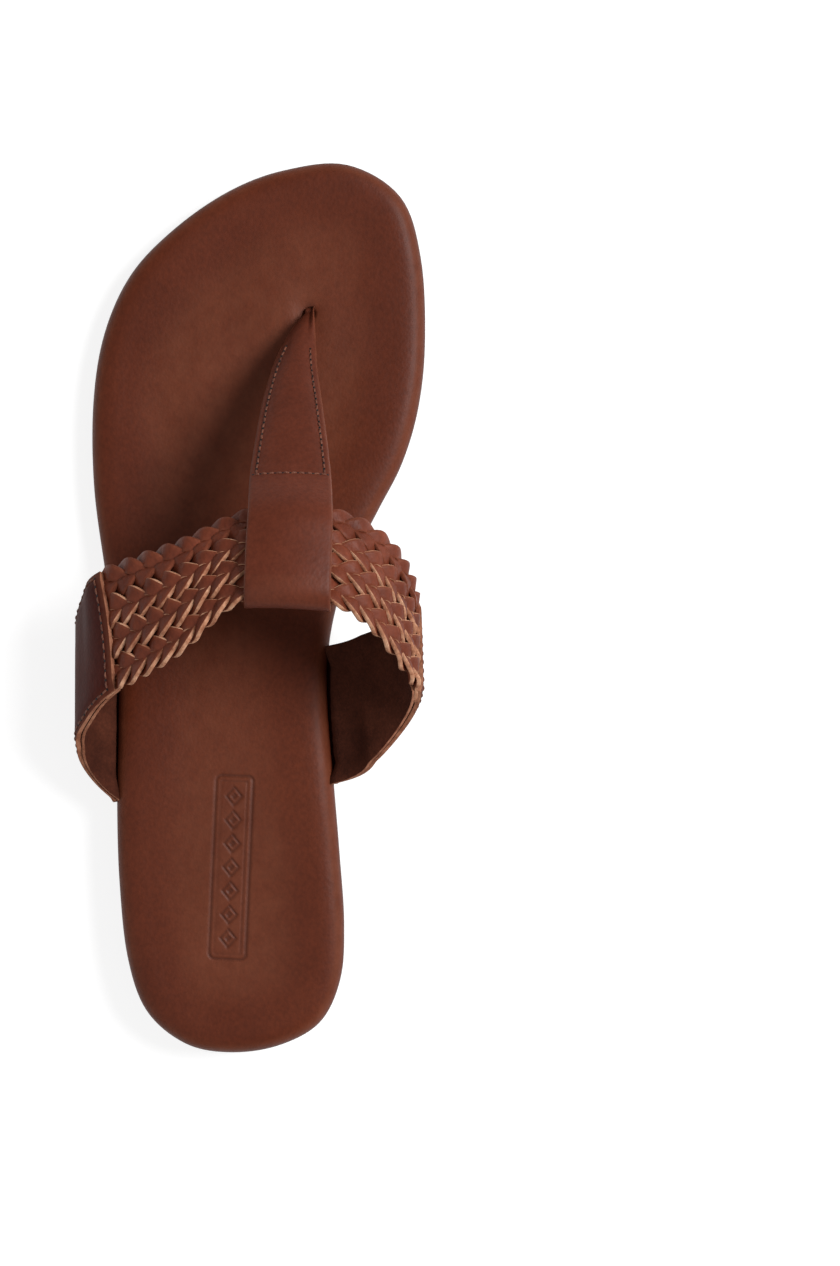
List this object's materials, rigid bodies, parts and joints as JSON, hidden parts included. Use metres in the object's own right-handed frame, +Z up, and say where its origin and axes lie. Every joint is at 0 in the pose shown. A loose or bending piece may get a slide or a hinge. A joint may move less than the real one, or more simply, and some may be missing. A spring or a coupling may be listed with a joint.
{
  "type": "flip flop sandal",
  "caption": "Leather thong sandal with a plaited instep strap, a folded T-strap to the toe post, a padded footbed and a low heel.",
  "frame": {"origin": "middle of the underside of the box round the sandal, on the ground", "axes": "+Y from heel to toes, +X to the big toe's side of this left sandal, +Z up"},
  "size_m": [0.1004, 0.2542, 0.0663],
  "materials": {
    "outsole_rubber": "matte",
    "filler_cork": "matte",
    "insole_board": "matte",
    "foam": "matte",
    "footbed_leather": "satin",
    "quarter_leather": "satin",
    "lining_suede": "matte",
    "lace_leather": "satin",
    "strap_leather": "satin",
    "thread": "matte"
  },
  "bodies": {
    "rearfoot": {"outsole_rear": "outsole_rubber", "heel_lift": "outsole_rubber", "bottom_filler_rear": "filler_cork", "insole_board_rear": "insole_board", "foam_cushion_rear": "foam", "insole_cover_rear": "footbed_leather", "outer_quarter": "quarter_leather", "inner_quarter": "quarter_leather", "outer_quarter_lining": "lining_suede", "inner_quarter_lining": "lining_suede", "lace_1a": "lace_leather", "lace_1b": "lace_leather", "lace_1c": "lace_leather", "lace_2a": "lace_leather", "lace_2b": "lace_leather", "lace_2c": "lace_leather", "lace_3a": "lace_leather", "lace_3b": "lace_leather", "lace_3c": "lace_leather", "lace_4a": "lace_leather", "lace_4b": "lace_leather", "lace_4c": "lace_leather", "t_strap": "strap_leather", "t_strap_thread": "thread", "outer_quarter_thread": "thread", "inner_quarter_thread": "thread"},
    "forefoot": {"outsole_fore": "outsole_rubber", "bottom_filler_fore": "filler_cork", "insole_board_fore": "insole_board", "foam_cushion_fore": "foam", "insole_cover_fore": "footbed_leather", "toe_post": "strap_leather"}
  },
  "joints": [
    {"name": "ball_flex", "type": "hinge", "parent": "rearfoot", "child": "forefoot", "pos_m": [0, 0.05285, 0.0125], "axis": [1, 0, 0], "range_deg": [0, 35], "stiffness_Nm_per_rad": 1.2, "deforming": ["t_strap", "t_strap_thread"]}
  ]
}
